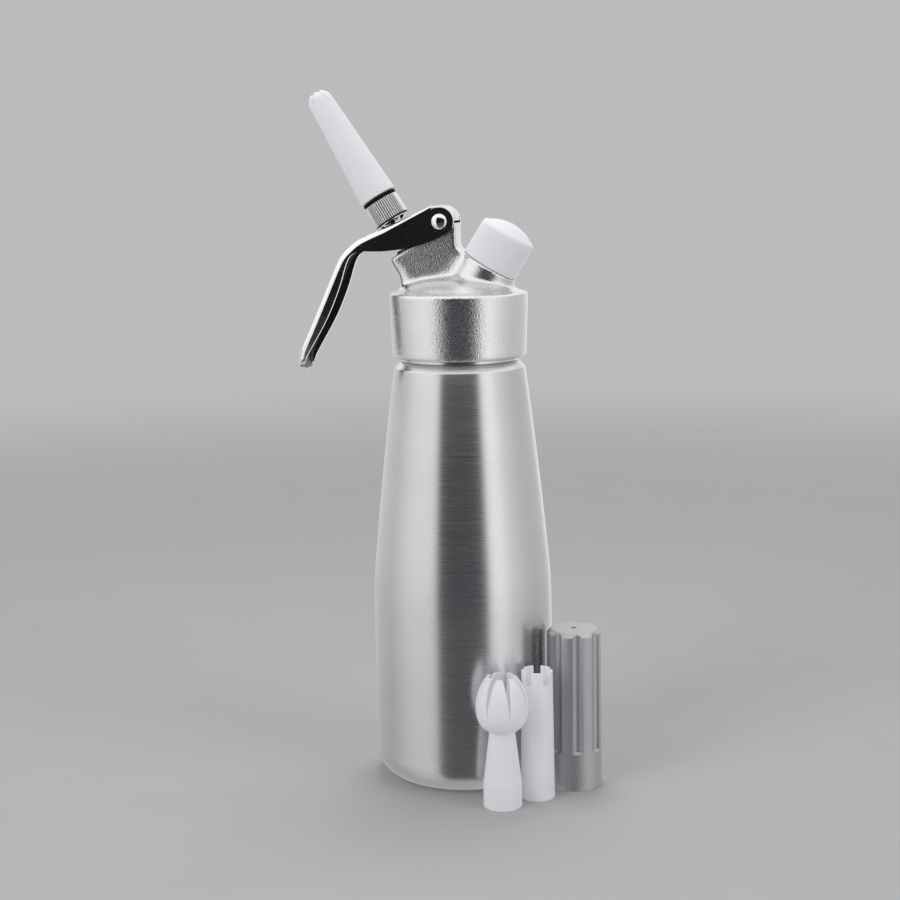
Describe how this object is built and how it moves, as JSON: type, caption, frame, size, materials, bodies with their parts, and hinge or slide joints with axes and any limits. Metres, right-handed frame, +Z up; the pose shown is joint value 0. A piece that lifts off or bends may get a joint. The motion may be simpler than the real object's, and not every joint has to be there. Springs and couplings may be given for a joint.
{
  "type": "whipped cream dispenser",
  "caption": "Slim brushed aluminium cream whipper: screw-on head with lever valve and angled nozzle, capped gas port, charger holder and spare plastic tips beside it.",
  "frame": {"origin": "centre of the bottle's flat base, on the surface it stands on", "axes": "+Z up along the bottle's axis, -X towards the nozzle and the lever, +X towards the charger port, XZ is the symmetry plane of the dispenser"},
  "size_m": [0.1366, 0.0969, 0.308],
  "materials": {
    "bottle_aluminium": "fine horizontal brushing",
    "head_aluminium": "sandblasted satin",
    "polished_chrome": "mirror polished",
    "steel": "turned, semi-bright",
    "brass": "turned",
    "grey_satin": "anodised grey, satin",
    "white_plastic": "matte, faintly bluish",
    "black_rubber": "matte",
    "seal_rubber": "matte dark red"
  },
  "bodies": {
    "bottle": {"bottle": "bottle_aluminium"},
    "gasket": {"head_gasket": "black_rubber"},
    "head": {"head": "head_aluminium", "lever_pin": "polished_chrome", "pin_nut": "polished_chrome", "gland_bush": "brass", "gland_o_ring": "black_rubber", "valve_spring": "steel", "charger_port": "steel", "pin_holder": "brass", "piercing_pin": "steel", "port_gasket": "seal_rubber", "check_valve": "black_rubber"},
    "lever": {"lever": "polished_chrome"},
    "stem": {"valve_stem": "polished_chrome", "valve_seal": "seal_rubber", "seal_nut": "steel", "lock_nut": "polished_chrome", "nozzle_adapter": "grey_satin", "adapter_o_ring": "black_rubber"},
    "nozzle": {"nozzle_tip": "white_plastic"},
    "cap": {"charger_cap": "white_plastic"},
    "holder": {"charger_holder": "grey_satin"},
    "crown": {"crown_tip": "white_plastic"},
    "tulip": {"tulip_tip": "white_plastic"}
  },
  "joints": [
    {"name": "head_rise", "type": "slide", "parent": "bottle", "child": "gasket", "axis": [0, 0, 1], "range_m": [0, 0.0201]},
    {"name": "head_turn", "type": "hinge", "parent": "gasket", "child": "head", "pos_m": [0, 0, 0.2], "axis": [0, 0, 1], "range_deg": [0, 1800]},
    {"name": "lever_pivot", "type": "hinge", "parent": "head", "child": "lever", "pos_m": [-0.0063, 0, 0.2499], "axis": [0, -1, 0], "range_deg": [0, 8.5], "stiffness_Nm_per_rad": 0.3, "springref_deg": -20.05},
    {"name": "stem_slide", "type": "slide", "parent": "head", "child": "stem", "axis": [0.515, 0, -0.8572], "range_m": [0, 0.0029], "deforming": ["valve_spring"]},
    {"name": "nozzle_off", "type": "slide", "parent": "stem", "child": "nozzle", "axis": [-0.515, 0, 0.8572], "range_m": [0, 0.015]},
    {"name": "cap_off", "type": "slide", "parent": "head", "child": "cap", "axis": [0.515, 0, 0.8572], "range_m": [0, 0.02]},
    {"name": "holder_lift", "type": "slide", "parent": "bottle", "child": "holder", "axis": [0, 0, 1], "range_m": [0, 0.08]},
    {"name": "crown_lift", "type": "slide", "parent": "bottle", "child": "crown", "axis": [0, 0, 1], "range_m": [0, 0.08]},
    {"name": "tulip_lift", "type": "slide", "parent": "bottle", "child": "tulip", "axis": [0, 0, 1], "range_m": [0, 0.08]}
  ],
  "couplings": [
    {"joint": "head_rise", "follows": "head_turn", "m_per_rad": 0.00063662},
    {"joint": "stem_slide", "follows": "lever_pivot", "m_per_rad": 0.019425}
  ]
}
